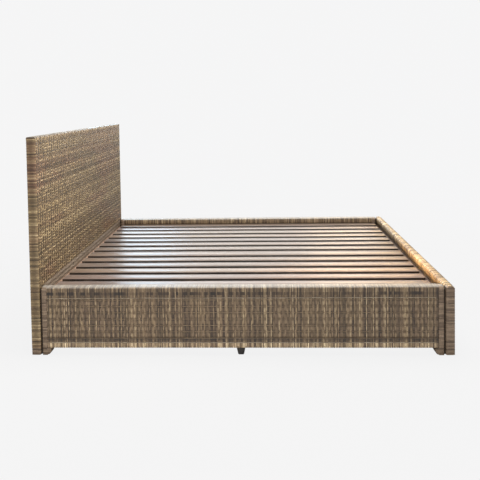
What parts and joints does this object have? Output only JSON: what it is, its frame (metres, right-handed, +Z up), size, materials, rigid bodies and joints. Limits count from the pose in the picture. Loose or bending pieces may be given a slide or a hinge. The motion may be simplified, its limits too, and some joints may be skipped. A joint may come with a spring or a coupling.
{
  "type": "bed frame",
  "caption": "Woven rattan bed frame with a tall plain headboard, low footboard and side rails, and a deck of wooden slats that run from head to foot.",
  "frame": {"origin": "on the floor, under the middle of the whole bed", "axes": "+X from the headboard to the footboard, +Y to the right as seen from the foot, +Z up"},
  "size_m": [2.138, 1.72, 1.12],
  "materials": {
    "headboard_rattan": "matt, flat rattan strands woven over stakes",
    "footboard_rattan": "matt, flat rattan strands woven over stakes",
    "rail_rattan": "matt, flat rattan strands woven over stakes",
    "rattan_peel": "satin rattan peel wound closely",
    "slat_wood": "clear varnish, satin gloss",
    "bearer_wood": "thin clear varnish",
    "frame_wood": "sawn and planed, bare",
    "foot_wood": "dark stain, matt",
    "screw_steel": "yellow zinc",
    "bracket_steel": "zinc plated",
    "glide_plastic": "moulded black"
  },
  "bodies": {
    "root": {"bearer_1": "bearer_wood", "bearer_2": "bearer_wood", "bearer_3": "bearer_wood", "bearer_4": "bearer_wood", "bearer_screws": "screw_steel", "centre_legs": "bearer_wood", "corner_brackets": "bracket_steel", "corner_screws": "bracket_steel", "end_ledgers": "bearer_wood", "floor_glides": "glide_plastic", "foot_wraps": "rattan_peel", "footboard_bottom_rail": "frame_wood", "footboard_left_post": "frame_wood", "footboard_right_post": "frame_wood", "footboard_studs": "frame_wood", "footboard_top_rail": "frame_wood", "footboard_weave": "footboard_rattan", "headboard_bottom_rail": "frame_wood", "headboard_cross_band": "rattan_peel", "headboard_left_post": "frame_wood", "headboard_lower_rail": "frame_wood", "headboard_middle_rail": "frame_wood", "headboard_right_post": "frame_wood", "headboard_studs": "frame_wood", "headboard_top_rail": "frame_wood", "headboard_weave": "headboard_rattan", "ledger_screws": "screw_steel", "left_rail_bottom_bar": "frame_wood", "left_rail_foot_post": "frame_wood", "left_rail_head_post": "frame_wood", "left_rail_middle_foot": "foot_wood", "left_rail_post_wraps": "rattan_peel", "left_rail_studs": "frame_wood", "left_rail_top_bar": "frame_wood", "left_rail_weave": "rail_rattan", "right_rail_bottom_bar": "frame_wood", "right_rail_foot_post": "frame_wood", "right_rail_head_post": "frame_wood", "right_rail_middle_foot": "foot_wood", "right_rail_post_wraps": "rattan_peel", "right_rail_studs": "frame_wood", "right_rail_top_bar": "frame_wood", "right_rail_weave": "rail_rattan", "side_ledgers": "bearer_wood", "slat_01": "slat_wood", "slat_02": "slat_wood", "slat_03": "slat_wood", "slat_04": "slat_wood", "slat_05": "slat_wood", "slat_06": "slat_wood", "slat_07": "slat_wood", "slat_08": "slat_wood", "slat_09": "slat_wood", "slat_10": "slat_wood", "slat_11": "slat_wood", "slat_12": "slat_wood", "slat_13": "slat_wood", "slat_14": "slat_wood", "slat_screws": "screw_steel"}
  },
  "joints": []
}
